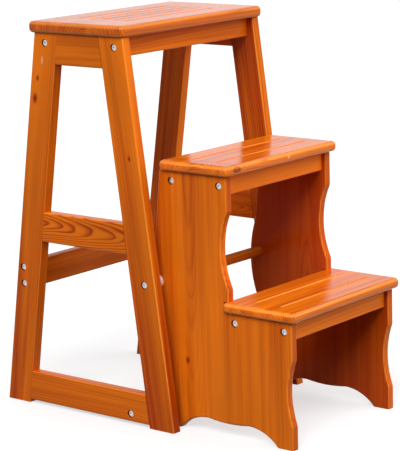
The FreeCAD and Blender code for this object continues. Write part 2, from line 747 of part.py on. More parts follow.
def pivot_fasteners():
    """Bolts that turn in the legs, spacers that keep the panels off them, inserts."""
    length = "leg_outer - head_recess + running_gap - panel_inner + pivot_reach"
    group("pivot_bolts", bolt("pivot_bolt", length),
          bolts_at([PIVOT], "leg_outer - head_recess + running_gap"))
    spacer = rod("spacer", "spacer_radius", "side_gap - running_gap", "hole_radius")
    group("pivot_spacers", spacer, bolts_at([PIVOT], "panel_outer"))
    insert = rod("insert", "insert_radius - dowel_play", "insert_length", "hole_radius")
    group("pivot_inserts", insert, bolts_at([PIVOT], "panel_inner - insert_length"))


def check_document():
    """Stop on any object that failed, and on any part without a sound solid."""
    for item in doc.Objects:
        if {"Invalid", "Error"} & set(item.State):
            raise RuntimeError("%s failed: %s" % (item.Label, item.State))
    for item in PARTS:
        shape = item.Shape
        if shape.isNull() or not shape.isValid() or not shape.Solids:
            raise RuntimeError(item.Label + " has no sound solid")


def write_parts():
    os.makedirs("parts", exist_ok=True)
    for item in PARTS:
        item.Shape.exportStep(os.path.join("parts", item.Label + ".step"))
        box = item.Shape.BoundBox
        print("%-22s %2d solids  y %7.1f %7.1f  z %6.1f %6.1f" % (
            item.Label, len(item.Shape.Solids), box.YMin, box.YMax, box.ZMin, box.ZMax))


for frame_side, sign in SIDES.items():
    side_frame(frame_side, sign)
    step_panel(frame_side, sign)
seat_aprons()
brace_and_stretcher()
seat()
steps()
pivot_rod()
step_fasteners(frame_fasteners())
pivot_fasteners()
doc.recompute()
check_document()
write_parts()
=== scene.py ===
# %% [markdown]
# A folding step stool in stained pine, dressed around its construction model.
# The boards, bolts and the pivot already have their true shape and place, so this lesson
# is about the looks: how a board shows the log that it was sawn from, how clear lacquer
# lies over a honey stain, and how plain studio light brings both out.

# %% Load the construction model
import math
from dataclasses import dataclass

import bpy
import numpy as np
from mathutils import Matrix, Vector


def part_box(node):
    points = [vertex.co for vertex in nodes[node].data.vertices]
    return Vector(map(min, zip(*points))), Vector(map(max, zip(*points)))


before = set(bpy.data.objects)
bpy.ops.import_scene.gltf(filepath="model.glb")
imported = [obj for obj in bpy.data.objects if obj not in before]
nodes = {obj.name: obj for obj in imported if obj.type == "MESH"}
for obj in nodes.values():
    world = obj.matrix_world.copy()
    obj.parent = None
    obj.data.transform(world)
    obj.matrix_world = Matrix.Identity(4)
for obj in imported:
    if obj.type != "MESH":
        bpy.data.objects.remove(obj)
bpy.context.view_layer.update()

# %% [markdown]
# The photograph was taken with a long lens from the front left corner, a little above
# the seat. A camera fitted to some forty points of the stool gave the numbers here: the
# focal length and the lens axis in pixels of the 400 by 451 picture, the direction, and
# the point looked at. Blender wants the lens in millimetres and the axis as a shift.

# %% Camera
PHOTO_WIDTH, PHOTO_HEIGHT = 400, 451
FOCAL_PIXELS = 2002.2
AXIS_PIXEL = (196.29, 203.05)
AZIMUTH, ELEVATION, ROLL = math.radians(-50.72), math.radians(11.09), math.radians(-1.57)
LOOKED_AT = Vector((-0.00643, 0.00588, 0.33604))
DISTANCE = 3.2791
SENSOR = 36.0

back = Vector((math.sin(AZIMUTH) * math.cos(ELEVATION),
               -math.cos(AZIMUTH) * math.cos(ELEVATION), math.sin(ELEVATION)))
level_right = (-back).cross(Vector((0, 0, 1))).normalized()
level_up = level_right.cross(-back)
right = level_right * math.cos(ROLL) + level_up * math.sin(ROLL)
up = level_up * math.cos(ROLL) - level_right * math.sin(ROLL)

lens = bpy.data.cameras.new("camera")
lens.sensor_width = SENSOR
lens.lens = FOCAL_PIXELS * SENSOR / PHOTO_HEIGHT
lens.shift_x = (PHOTO_WIDTH / 2 - AXIS_PIXEL[0]) / PHOTO_HEIGHT
lens.shift_y = (AXIS_PIXEL[1] - PHOTO_HEIGHT / 2) / PHOTO_HEIGHT
camera = bpy.data.objects.new("camera", lens)
turn = Matrix((right, up, back)).transposed().to_4x4()
camera.matrix_world = Matrix.Translation(LOOKED_AT + back * DISTANCE) @ turn
bpy.context.scene.collection.objects.link(camera)
bpy.context.scene.camera = camera
print("lens %.1f mm, shift %.4f, %.4f" % (lens.lens, lens.shift_x, lens.shift_y))

# %% [markdown]
# Shader maths is easier to read as sums than as a web of nodes. A Wire is a socket that
# knows Python's signs: `1 - ring * 0.3` adds the Math nodes that say so. Smooth steps
# between two limits are a node of their own, and make every mask in this lesson.


# %% A small language for materials
class Wire:
    """A value that runs through a material; sums on it add Math nodes."""

    def __init__(self, finish, socket):
        self.finish = finish
        self.socket = socket

    def _math(self, operation, *values):
        return self.finish.node("ShaderNodeMath", {"operation": operation},
                                dict(enumerate(values)))

    def __add__(self, other):
        return self._math("ADD", self, other)

    def __radd__(self, other):
        return self._math("ADD", other, self)

    def __sub__(self, other):
        return self._math("SUBTRACT", self, other)

    def __rsub__(self, other):
        return self._math("SUBTRACT", other, self)

    def __mul__(self, other):
        return self._math("MULTIPLY", self, other)

    def __rmul__(self, other):
        return self._math("MULTIPLY", other, self)

    def __truediv__(self, other):
        return self._math("DIVIDE", self, other)

    def __pow__(self, other):
        return self._math("POWER", self, other)

    def __abs__(self):
        return self._math("ABSOLUTE", self)

    def fraction(self):
        """What is left above the whole number."""
        return self._math("FRACT", self)

    def below(self, low, high):
        """1 at low and under it, 0 at high and over it, an even curve between."""
        return self.above(high, low)

    def above(self, low, high):
        """0 at low, 1 at high, an even curve between; low may be the larger one."""
        settings = {"interpolation_type": "SMOOTHSTEP"}
        return self.finish.node("ShaderNodeMapRange", settings,
                                {"Value": self, "From Min": low, "From Max": high})

    def twin(self, output):
        """Another output of the node that this wire comes from."""
        return Wire(self.finish, self.socket.node.outputs[output])


print("things that a Wire can do:", sum(callable(skill) for skill in vars(Wire).values()))

# %% [markdown]
# A Finish is one material while it is being written. Every node comes from one method,
# which takes the node's type, its settings and its sockets. The surface's own place is
# read in the object's coordinates, so a pattern stays in the wood when the steps fold.


# %% A finish under construction
class Finish:
    """One material under construction, with the surface's own place in metres."""

    def __init__(self, name):
        self.material = bpy.data.materials.new(name)
        self.material.use_nodes = True
        self.tree = self.material.node_tree
        self.tree.nodes.clear()
        self.place = self.node("ShaderNodeTexCoord", {}, {}, "Object")
        self.normal = self.place.twin("Normal")

    def node(self, kind, settings, sockets, output=0):
        """A node of this type: settings first, then the value or wire of each socket."""
        made = self.tree.nodes.new(kind)
        for key, setting in settings.items():
            if key == "stops":
                self._set_stops(made.color_ramp, setting)
            else:
                setattr(made, key, setting)
        for key, given in sockets.items():
            if isinstance(given, Wire):
                self.tree.links.new(given.socket, made.inputs[key])
            else:
                made.inputs[key].default_value = given
        return Wire(self, made.outputs[output])

    @staticmethod
    def _set_stops(ramp, stops):
        while len(ramp.elements) < len(stops):
            ramp.elements.new(0.5)
        for element, (position, level) in zip(ramp.elements, stops):
            element.position = position
            element.color = (level, level, level, 1)

    def along(self, direction, vector=None):
        """How far the surface point, or another vector, reaches along a direction."""
        sockets = {0: vector or self.place, 1: tuple(direction)}
        return self.node("ShaderNodeVectorMath", {"operation": "DOT_PRODUCT"}, sockets,
                         "Value")

    def vector(self, x, y, z):
        """Three numbers or wires as one vector."""
        return self.node("ShaderNodeCombineXYZ", {}, {0: x, 1: y, 2: z})

    def times(self, vector, factor):
        """A vector or a colour with each of its three numbers times the factor."""
        settings = {"operation": "SCALE"}
        return self.node("ShaderNodeVectorMath", settings, {0: vector, "Scale": factor})

    def noise(self, vector, detail=2.0):
        """Smooth noise of the vector, about 0 with a reach of about 1 each way."""
        sockets = {"Vector": vector, "Scale": 1.0, "Detail": detail}
        return self.node("ShaderNodeTexNoise", {"noise_dimensions": "3D"}, sockets) * 4 - 2

    def mix(self, factor, first, second):
        """The first colour where factor is 0, the second where it is 1."""
        first, second = (colour if isinstance(colour, Wire) else (*colour, 1.0)
                         for colour in (first, second))
        settings = {"data_type": "RGBA", "clamp_factor": True}
        return self.node("ShaderNodeMix", settings, {0: factor, 6: first, 7: second}, 2)

    def bump(self, height, distance):
        """A normal for a surface that rises by this distance where height is 1."""
        sockets = {"Strength": 1.0, "Distance": distance, "Height": height}
        return self.node("ShaderNodeBump", {}, sockets)

    def surface(self, sockets):
        """Close the material with a Principled shader that has these sockets."""
        shader = self.node("ShaderNodeBsdfPrincipled", {}, sockets)
        end = self.tree.nodes.new("ShaderNodeOutputMaterial")
        self.tree.links.new(shader.socket, end.inputs["Surface"])
        return self.material


print("things that a Finish can do:", sum(callable(skill) for skill in vars(Finish).values()))

# %% [markdown]
# Pine boards are sawn from a log of yearly rings, each a pale band that ends in a thin
# dark one. So the grain isn't painted on: every board gets a place for the heart of its
# log, and each point of it is coloured by its distance from that heart. Wide faces then
# show arches, edges show lines and the ends show bows, all of them joined at the corners
# as on real wood. For that, a board has to know which way its fibres run. A leg's run on
# a slope, a rail's and a tread's along its longest side.

# %% Which way the fibres run
LEFT, RIGHT, FRONT, BACK, TOP = (-1, 0, 0), (1, 0, 0), (0, -1, 0), (0, 1, 0), (0, 0, 1)
END_SLICE = 0.001  # what lies this near to a leg's end belongs to the end


def grain_axes(name, face, grain=None):
    """Unit vectors of a board: along its fibres, across its face, and out of its face.
    The fibres run along grain, if it is given, or along the board's longest side, which
    for a leg is a sloping line through the middles of its two ends."""
    corners = np.array([v.co for v in nodes[name].data.vertices])
    longest = int(np.argmax(corners.max(0) - corners.min(0)))
    if grain:
        run = Vector(grain)
    elif name.endswith("_leg"):
        reach = corners[:, longest]
        low_end = corners[reach < reach.min() + END_SLICE].mean(0)
        high_end = corners[reach > reach.max() - END_SLICE].mean(0)
        run = Vector(high_end - low_end).normalized()
    else:
        run = Vector([float(i == longest) for i in range(3)])
    out = Vector(face)
    return run, out.cross(run), out


leg_run = grain_axes("left_front_leg", LEFT)[0]
print("a front leg leans by %.1f degrees" % math.degrees(math.acos(abs(leg_run.z))))

# %% [markdown]
# Nothing in wood is quite even. The log bends, the years are wide and narrow, and stain
# sinks in by streaks, clouds and blotches. Each of these is a smooth noise, stretched
# along the fibres. The table gives its waves to the metre along the fibres and over
# them, whether the board's own seed moves it along or over, and how fine its detail is.

# %% Uneven by nature
NOISES = {
    # waves along and over the fibres, seed along and over, detail
    "bend": (5, 14, 1, 0, 2.0),
    "sway": (4, 9, 0, 1, 2.0),
    "ripple": (9, 60, 0, 1, 2.0),
    "fading": (3, 30, 1, 0, 2.0),
    "fibre": (10, 750, 0, 0, 3.0),
    "streak": (2.5, 110, 0, 1, 3.0),
    "blotch": (6, 11, 0, 1, 2.0),
    "cloud": (1.8, 34, 1, 0, 2.0),
}
SEED_STEP = 0.37  # turns the letters of a board's name into a place in the noise
SQUARE_ON = (0.55, 0.95)  # from slanting to facing a direction


class Board:
    """One board whose finish is being made. The wires x, y and z say how far the surface
    point lies along the fibres, across the face and out of the face, in metres."""

    def __init__(self, name, face, grain=None):
        self.name = name
        self.finish = Finish("pine_" + name)
        self.low, self.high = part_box(name)
        self.middle = (self.low + self.high) / 2
        self.run, self.across, self.out = grain_axes(name, face, grain)
        self.x = self.finish.along(self.run)
        self.y = self.finish.along(self.across)
        self.z = self.finish.along(self.out)
        self.seed = sum(ord(letter) for letter in name) * SEED_STEP
        self.noises = {}
        self.end_grain = self.facing(self.run).above(*SQUARE_ON)
        self.edge_grain = self.facing(self.across).above(*SQUARE_ON)

    def facing(self, direction):
        """1 where the surface faces along a direction, either way, 0 where across it."""
        return abs(self.finish.along(direction, self.finish.normal))

    def offset(self, place):
        """How far the surface point lies from a place, along x, y and z."""
        spot = Vector(place)
        return (self.x - spot.dot(self.run), self.y - spot.dot(self.across),
                self.z - spot.dot(self.out))

    def noise(self, name):
        """One of the NOISES on this board, made once and then used again."""
        if name not in self.noises:
            along, over, seed_along, seed_over, detail = NOISES[name]
            vector = self.finish.vector(self.x * along + self.seed * seed_along,
                                        self.y * over + self.seed * seed_over,
                                        self.z * over)
            self.noises[name] = self.finish.noise(vector, detail)
        return self.noises[name]


print("kinds of unevenness:", ", ".join(NOISES))

# %% [markdown]
# A Cut says how a board came out of its log: where the heart of the log lies, how wide
# the years are, and which knots the saw went through. Where the heart sinks or rises
# along the board, the rings meet its face as arches, as on the middle rails.


# %% How a board was cut
@dataclass
class Cut:
    """How a board was sawn from its log, in metres."""
    heart: tuple  # how far the heart lies beside the board's middle, and under its face
    pitch: float = 0.0034  # the width of a year
    lean: float = 0.01  # how fast the heart sinks along the board, or rises if under 0
    warp: float = 0.0015  # how far the bends of the log carry the rings
    grain: tuple = None  # the run of the fibres, where it isn't the longest side
    knots: tuple = ()  # the place, radius and branch's direction of each knot


print("a usual year is %.1f mm wide" % (1000 * Cut.pitch))

# %% [markdown]
# Rings are circles round the heart, so the ring number at a point is the root of (beside
# squared + under squared) over the width of a year. What is left above the whole number
# is the time of that year, and a ramp turns it into the darkness of its wood. A knot is a
# branch, and pushes the rings aside. It gets its own colour later.

# %% Rings of the log
YEAR = [(0.0, 0.35), (0.10, 0.0), (0.45, 0.10), (0.75, 0.6), (0.9, 1.0), (1.0, 0.35)]
YEAR_WAVES = 150  # how fast good years change to bad ones, to the metre
YEAR_SWING = 0.45
RIPPLE_SWING = 0.16
KNOT_STRETCH = 0.6
KNOT_PUSH = 1.3  # how far it pushes a ring, in its own radius
KNOT_PUSH_FADE = (0.2, 3.2)  # how far from it the push begins to fade, and ends
KNOT_SWAY = 0.08


def knot_reaches(board, knots):
    """For each knot, how far the surface point lies from it: 0 in its middle, 1 at its
    radius. It is drawn out along the fibres, and as long as the board along its branch."""
    reaches = []
    for place, radius, branch in knots:
        dx, dy, dz = board.offset(place)
        dx = dx * KNOT_STRETCH
        dy = dy * (1 - abs(Vector(branch).dot(board.across)))
        dz = dz * (1 - abs(Vector(branch).dot(board.out)))
        reach = (dx * dx + dy * dy + dz * dz) ** 0.5 / radius
        reaches.append(reach + board.noise("sway") * KNOT_SWAY)
    return reaches


def late_wood(board, cut, reaches):
    """0 in the early wood of each year and 1 in its late wood, by the YEAR's stops."""
    middle = board.middle
    along = board.x - middle.dot(board.run)
    beside = board.y - (middle.dot(board.across) + cut.heart[0])
    beside = beside + board.noise("sway") * cut.warp
    under = board.z - (middle.dot(board.out) - cut.heart[1])
    under = under + along * cut.lean + board.noise("bend") * cut.warp
    distance = (beside * beside + under * under) ** 0.5
    for (_, radius, _), reach in zip(cut.knots, reaches):
        distance = distance + reach.below(*KNOT_PUSH_FADE) * (radius * KNOT_PUSH)
    years = board.finish.noise(board.finish.vector(distance * YEAR_WAVES, board.seed, 0.0))
    rings = distance / cut.pitch + years * YEAR_SWING + board.noise("ripple") * RIPPLE_SWING
    return board.finish.node("ShaderNodeValToRGB", {"stops": YEAR}, {0: rings.fraction()})


darkest = max(YEAR, key=lambda stop: stop[1])
print("a year's wood is darkest after %d percent of it" % (100 * darkest[0]))

# %% [markdown]
# The colour is a honey stain, and a Stain says how it took. Early wood stays orange, and
# late wood goes dark red. The stain gathers in streaks and clouds, and a painted shade
# deepens it down the legs. It sinks in deeper where the fibres end, so most boards have
# darker ends. All of this adds up to one depth at each point, which mixes the colour of
# late wood into that of early wood.

# %% Stain
EARLY_WOOD = (0.88, 0.195, 0.007)
LATE_WOOD = (0.44, 0.046, 0.003)
STREAKS, CLOUDS, BLOTCHES = 0.26, 0.30, 0.12
LEAST_DEPTH = 0.10
END_CONTRAST = 0.50


@dataclass
class Stain:
    """How the stain took, with painted light and shade over it. Depths go from 0, early
    wood's orange, to 1, late wood's red.
    """
    contrast: float = 0.45  # how much deeper it is in late wood
    tone: float = 1.0  # how light the whole board is
    red: float = 0.0  # more depth all over
    mottle: float = 1.0  # the strength of its streaks, clouds and blotches
    foot_shade: float = 0.0  # painted shade: more depth for each metre down the fibres
    painted_shade: tuple = None  # (from y, to y, depth): a painted shadow, deeper towards the second place
    edge_stain_and_light: float = 0.12  # more depth on the edges, or less if it is under 0: deeper stain, and painted light and shade on the narrow faces
    end_stain_and_highlight: float = 0.20  # how much darker the ends are, or paler if it is under 0, as a painted highlight
    rubbed_and_highlight: float = 0.45  # how far the rounded corners are rubbed pale, with a painted highlight
    knot_edge: float = 0.25  # how dark the rim of a knot is
    knot_core: float = 0.9  # how dark its middle is
    smears: tuple = ()  # the place, half length and half width of each smear of filler


def stained(board, stain, late):
    """The colour of sound wood, whose late wood fades here and there."""
    fading = board.noise("fading") * 0.3 + 0.7
    contrast = stain.contrast + board.end_grain * END_CONTRAST
    depth = late * fading * contrast + LEAST_DEPTH + stain.red
    mottle = board.noise("streak") * STREAKS + board.noise("cloud") * CLOUDS
    mottle = mottle + board.noise("blotch") * BLOTCHES
    # The edge term is deeper stain on the narrow faces, with painted light and shade there.
    depth = depth + mottle * stain.mottle + board.edge_grain * stain.edge_stain_and_light
    # Painted shade that deepens towards the foot of a board.
    depth = depth - (board.x - board.middle.dot(board.run)) * stain.foot_shade
    # A painted shadow across the board, between two places.
    if stain.painted_shade:
        start, end, painted_shade = stain.painted_shade
        depth = depth + board.finish.along(BACK).above(start, end) * painted_shade
    return board.finish.mix(depth, EARLY_WOOD, LATE_WOOD)


print("parts of a stain:", ", ".join(Stain.__annotations__))

# %% [markdown]
# Knots soak the stain up and go dark brown, each with a rim and a red halo. Filler, which
# the maker rubbed into small holes, hardly takes it at all. Both are laid over the sound
# wood, by how far a point lies from the middle of the knot or the smear.

# %% Knots and filler
KNOT_WOOD = (0.15, 0.008, 0.003)
HALO, HALO_COVER = (0.6, 2.2), 0.75
RIM_INSIDE, RIM_OUTSIDE = (0.55, 0.95), (1.0, 1.35)
CORE = (0.3, 0.95)
FILLER = (0.90, 0.48, 0.26)
FILLER_COVER = 0.7
FILLER_DEPTH = 0.004
FILLER_EDGE = (0.3, 1.0)
FILLER_SWAY = 0.8


def knotted(board, stain, colour, reaches):
    """The colour with a red halo round each knot, its rim and its dark middle."""
    mix = board.finish.mix
    for reach in reaches:
        rim = reach.below(*RIM_OUTSIDE) * reach.above(*RIM_INSIDE)
        colour = mix(reach.below(*HALO) * HALO_COVER, colour, LATE_WOOD)
        colour = mix(rim * stain.knot_edge, colour, KNOT_WOOD)
        colour = mix(reach.below(*CORE) * stain.knot_core, colour, KNOT_WOOD)
    return colour


def smeared(board, stain, colour):
    """The colour with its smears of filler: ovals with an uneven rim."""
    for place, half_length, half_width in stain.smears:
        dx, dy, dz = board.offset(place)
        dx = dx / half_length
        dy = dy / half_width + board.noise("sway") * FILLER_SWAY
        dz = dz / FILLER_DEPTH
        smear = (dx * dx + dy * dy + dz * dz).below(*FILLER_EDGE)
        colour = board.finish.mix(smear * FILLER_COVER, colour, FILLER)
    return colour


print("a knot's halo reaches %.1f times its radius" % HALO[1])

# %% [markdown]
# The maker's work shows on top of the grain. A bolt's head sits in a sunk seat, where
# little light comes in, and that shade is painted into the seat. The router leaves paler
# wood in the treads' grooves, and a painted highlight lightens their walls further. A
# fine dark line of glue marks where a rail meets a leg. None of these is painted by eye:
# each mask is worked out from the place of the piece. The bolts' places come first, read
# from the outermost vertices of their nodes.

# %% Sunk seats of the bolts
HEAD_DEPTH, HEAD_WIDTH = 0.004, 0.012
SEAT_RIM = (0.0066, 0.0068)  # from the bolt's axis
SEAT_DEPTH = (0.0016, 0.0004)  # under the board's face
# How dark the painted shade in a bolt's sunk seat is.
SEAT_PAINTED_SHADE = 0.72
FADE = 0.001


def bolt_centres():
    """The middles of all bolt heads, one row each, from the vertices of their nodes."""
    centres = []
    for name in nodes:
        if name.endswith("_bolts"):
            points = np.array([v.co for v in nodes[name].data.vertices])
            points = points[np.abs(points[:, 0]) > np.abs(points[:, 0]).max() - HEAD_DEPTH]
            while len(points):
                near = np.linalg.norm(points - points[0], axis=1) < HEAD_WIDTH
                centres.append((points[near].min(0) + points[near].max(0)) / 2)
                points = points[~near]
    return np.array(centres)


def bolt_seat_shade(board):
    """1 in the seats of the bolts that go through this board, where shade is painted: near a
    bolt's axis and under the face. None where it has no bolt."""
    face = max(board.low.dot(board.out), board.high.dot(board.out))
    seat_shade = 0.0
    for centre in BOLTS:
        within = all(board.low[i] - FADE < centre[i] < board.high[i] + FADE for i in (1, 2))
        if within and abs(Vector(centre).dot(board.out) - face) < HEAD_WIDTH:
            dx, dy, _ = board.offset(centre)
            seat_shade = seat_shade + (dx * dx + dy * dy).below(*(radius ** 2 for radius in SEAT_RIM))
    if not isinstance(seat_shade, Wire):
        return None
    return seat_shade * board.z.below(*(face - depth for depth in SEAT_DEPTH))


BOLTS = bolt_centres()
print("bolt heads:", len(BOLTS))

# %% [markdown]
# The grooves are found the same way: what lies just under a tread's top, inside its
# outline, can only be a groove's wall or floor. For the glue lines, the heights of the
# rails say where they meet a leg's inner edge, which is the rear edge of a front leg and
# the front edge of a rear one.

# %% Grooves and glue lines
GROOVES = {
    # how far from the board's end a groove ends, and how pale its walls are painted: paler
    # routed wood and a painted highlight
    "seat_board": (0.068, 0.30),
    "middle_tread": (0.030, 0.65),
    "lower_tread": (0.030, 0.80),
}
GROOVE_MOUTH = (0.0006, 0.0002)  # under the top
GROOVE_FLOOR = (0.0026, 0.0024)
TREAD_MARGIN = (0.011, 0.010)  # from the long edges
LEG_HALF = 0.0250
GLUE_LINE = (0.0018, 0.0006)  # from the leg's inner edge
GLUE_DARKNESS = 0.28
RAIL_HEIGHTS = [(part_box("left_" + rail)[0].z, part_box("left_" + rail)[1].z)
                for rail in ("bottom_rail", "middle_rail", "top_rail")]


def groove_walls(board):
    """1 on the walls and floors of a tread's grooves, which end before the tread does:
    under its top and well inside its outline, or else 0."""
    end = GROOVES[board.name][0]
    half = (board.high - board.low) / 2
    top = board.high.z
    deep = board.z.below(*(top - depth for depth in GROOVE_MOUTH))
    deep = deep * board.z.above(*(top - depth for depth in GROOVE_FLOOR))
    long_way = abs(board.x - board.middle.x).below(half.x - end, half.x - end + FADE)
    wide_way = abs(board.y - board.middle.y)
    return deep * long_way * wide_way.below(*(half.y - margin for margin in TREAD_MARGIN))


def glued(board, level):
    """The level, darker on a line along a leg's inner edge at each rail's height."""
    towards = math.copysign(1, board.across.y) * (1 if "front" in board.name else -1)
    edge = (board.y - board.middle.dot(board.across)) * towards
    line = edge.above(*(LEG_HALF - inset for inset in GLUE_LINE))
    height = board.finish.along(TOP)
    for bottom, top in RAIL_HEIGHTS:
        beside_rail = height.above(bottom, bottom + FADE) * height.below(top, top + FADE)
        level = level * (1 - beside_rail * line * GLUE_DARKNESS)
    return level


print("rails meet a leg at heights in mm:",
      [(round(1000 * bottom), round(1000 * top)) for bottom, top in RAIL_HEIGHTS])

# %% [markdown]
# Now a board's whole finish, layer over layer: sawn, stained, rubbed along its corners
# with a painted highlight there, grooved, darkened by a painted shade in its bolts'
# seats, and lacquered. Clear lacquer is a smooth film, so it is the shader's own
# reflection: low roughness, with the faintest relief of the grain. The boards that feet
# stand on have a coat more, which a higher index of refraction shows.

# %% Stained and lacquered pine
THIN_LACQUER, THICK_LACQUER = 1.15, 1.25
# Pale wood for rubbed corners and routed grooves, made lighter as a painted highlight.
PALE_WOOD_AND_HIGHLIGHT = (0.95, 0.33, 0.050)
CORNER_START, CORNER_END = (0.10, 0.45), (0.80, 0.97)  # by how far it faces outwards
LATE_KEEPS = 0.7  # hard late wood keeps its stain on the rubbed and highlighted corners
FIBRE_TONE, FIBRE_ROUGHNESS, END_ROUGHNESS = 0.035, 0.025, 0.12
LATE_RELIEF, FIBRE_RELIEF = 0.5, 0.35  # shares of the height of the grain
GRAIN_HEIGHT = 0.00006


def pine(name, face, cut, stain, lacquer=THIN_LACQUER, sheen=0.20):
    """The material of one board whose good face looks this way. lacquer is its index of
    refraction, and sheen its roughness."""
    board = Board(name, face, cut.grain)
    finish = board.finish
    reaches = knot_reaches(board, cut.knots)
    late = late_wood(board, cut, reaches)
    colour = stained(board, stain, late)
    colour = knotted(board, stain, colour, reaches)
    colour = smeared(board, stain, colour)

    # The rounded corners go pale: partly rubbed wear, partly a painted highlight.
    outward = board.facing(board.out)
    corner = outward.above(*CORNER_START) * outward.below(*CORNER_END)
    colour = finish.mix(corner * (1 - late * LATE_KEEPS) * stain.rubbed_and_highlight, colour, PALE_WOOD_AND_HIGHLIGHT)

    fibre = board.noise("fibre")
    level = 1 + fibre * FIBRE_TONE + board.noise("blotch") * BLOTCHES * stain.mottle
    # Ends painted paler, as on the treads, are a painted highlight; darker ends are stain.
    level = level * stain.tone * (1 - board.end_grain * stain.end_stain_and_highlight)
    if name.endswith("_leg"):
        level = glued(board, level)
    if name in GROOVES:
        # Groove walls: paler routed wood and a painted highlight.
        pale_and_highlight = GROOVES[name][1]
        colour = finish.mix(groove_walls(board) * pale_and_highlight, colour, PALE_WOOD_AND_HIGHLIGHT)
    # Painted shade in the sunk seats of the bolts.
    seat_shade = bolt_seat_shade(board)
    if seat_shade:
        level = level * (1 - seat_shade * SEAT_PAINTED_SHADE)
    return finish.surface({
        "Base Color": finish.times(colour, level),
        "Roughness": sheen + fibre * FIBRE_ROUGHNESS + board.end_grain * END_ROUGHNESS,
        "IOR": lacquer,
        "Normal": finish.bump(late * LATE_RELIEF + fibre * FIBRE_RELIEF, GRAIN_HEIGHT),
    })


def dress(name, material):
    """Give a piece of the construction model this material on all its slots."""
    for slot in nodes[name].material_slots:
        slot.link = "OBJECT"
        slot.material = material


print("lacquer: index %.2f, and %.2f where feet stand" % (THIN_LACQUER, THICK_LACQUER))

# %% [markdown]
# The two A-shaped side frames come first. The left one is seen from outside and in full
# light. The right one shows its inner side in the shade, so its boards are painted
# deeper and redder for that shade, and its rear leg lighter for the light that reaches
# it. The left middle rail has the boldest grain of all, with long arches, because the
# heart of its log passes close under its face on a slant.

# %% Legs and rails
leg_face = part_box("left_front_leg")[0].x
LEG_TOP_KNOTS = [((leg_face, 0.1991, 0.5178), 0.0036, LEFT),
                 ((leg_face, 0.1916, 0.5508), 0.0020, LEFT)]
LEG_PIN_KNOT = [((leg_face, 0.0018, 0.4351), 0.002, LEFT)]
LEG_SMEAR = [((leg_face, 0.180, 0.5807), 0.008, 0.0022)]
MIDDLE_CUT = Cut((-0.007, 0.016), pitch=0.0027, lean=-0.08, warp=0.003)
# In both frames the legs get a painted shade towards their feet and a painted highlight on
# their rubbed corners.
LEFT_FRAME = {
    "front_leg": (Cut((0.075, 0.030), knots=LEG_PIN_KNOT),
                  Stain(contrast=0.35, tone=0.94, red=0.16, foot_shade=1.2, edge_stain_and_light=0.0,
                        mottle=1.3, rubbed_and_highlight=0.75)),
    "rear_leg": (Cut((-0.065, 0.040), knots=LEG_TOP_KNOTS),
                 Stain(contrast=0.35, tone=0.94, red=0.14, foot_shade=1.1, mottle=1.3,
                       smears=LEG_SMEAR)),
    "top_rail": (Cut((0.032, 0.045)), Stain(contrast=0.25, tone=0.94, red=0.10)),
    "middle_rail": (MIDDLE_CUT, Stain(contrast=1.8, tone=0.9588, red=-0.10)),
    "bottom_rail": (Cut((-0.045, 0.025)), Stain(contrast=0.5, tone=0.94, red=0.06)),
}
# The right frame's tones and reds are painted for its light and shade: deeper and redder in
# the shade, the rear leg lighter.
RIGHT_FRAME = {
    "front_leg": (Cut((0.075, 0.030)),
                  Stain(contrast=0.8, tone=0.88, red=0.50, foot_shade=0.2, edge_stain_and_light=-0.60,
                        mottle=1.3, rubbed_and_highlight=0.75)),
    "rear_leg": (Cut((-0.065, 0.040)),
                 Stain(contrast=0.35, tone=1.18, red=0.36, foot_shade=1.1, edge_stain_and_light=-0.50,
                       mottle=1.3)),
    "top_rail": (Cut((0.032, 0.045)), Stain(contrast=0.25, tone=0.92, red=0.10)),
    "middle_rail": (MIDDLE_CUT, Stain(contrast=0.6, tone=0.9384, red=0.35)),
    "bottom_rail": (Cut((-0.045, 0.025)), Stain(contrast=0.5, tone=0.92, red=0.06)),
}
for side, face, boards in (("left_", LEFT, LEFT_FRAME), ("right_", RIGHT, RIGHT_FRAME)):
    for board_name, (cut, stain) in boards.items():
        dress(side + board_name, pine(side + board_name, face, cut, stain))
print("boards of the side frames:", len(LEFT_FRAME) + len(RIGHT_FRAME))

# %% [markdown]
# Each step panel is one wide board with upright grain. The left one has a small knot low
# down, and a painted shadow deepens it from the middle towards the legs. The right one is
# seen from inside, between the steps, and is painted deep, red and even for the shade
# there.

# %% Step panels
UPRIGHT = TOP
panel_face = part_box("left_step_panel")[0].x
PANEL_KNOT = [((panel_face, -0.0766, 0.1136), 0.0026, LEFT)]
left_cut = Cut((0.056, 0.018), pitch=0.0036, lean=-0.055, warp=0.002, grain=UPRIGHT,
               knots=PANEL_KNOT)
# A painted shadow deepens the left panel towards the legs.
left_stain = Stain(contrast=0.30, tone=0.97, mottle=1.3, edge_stain_and_light=0.35,
                   painted_shade=(-0.075, -0.015, 0.55))
right_cut = Cut((-0.02, 0.030), pitch=0.0036, lean=0.03, warp=0.003, grain=UPRIGHT)
# The right panel is painted deep, red and even for the shade between the steps.
right_stain = Stain(contrast=0.3, red=0.70, mottle=0.45, edge_stain_and_light=-0.35)
dress("left_step_panel", pine("left_step_panel", LEFT, left_cut, left_stain))
dress("right_step_panel", pine("right_step_panel", RIGHT, right_cut, right_stain))
print("step panels:", [name for name in nodes if name.endswith("_step_panel")])

# %% [markdown]
# Seat and treads take the wear and the light. Their corners are rubbed pale and carry a
# painted highlight, the treads' ends are painted pale for the light that they catch, and
# their lacquer is thick. On the middle tread's front edge are a knot and a smear of
# filler.

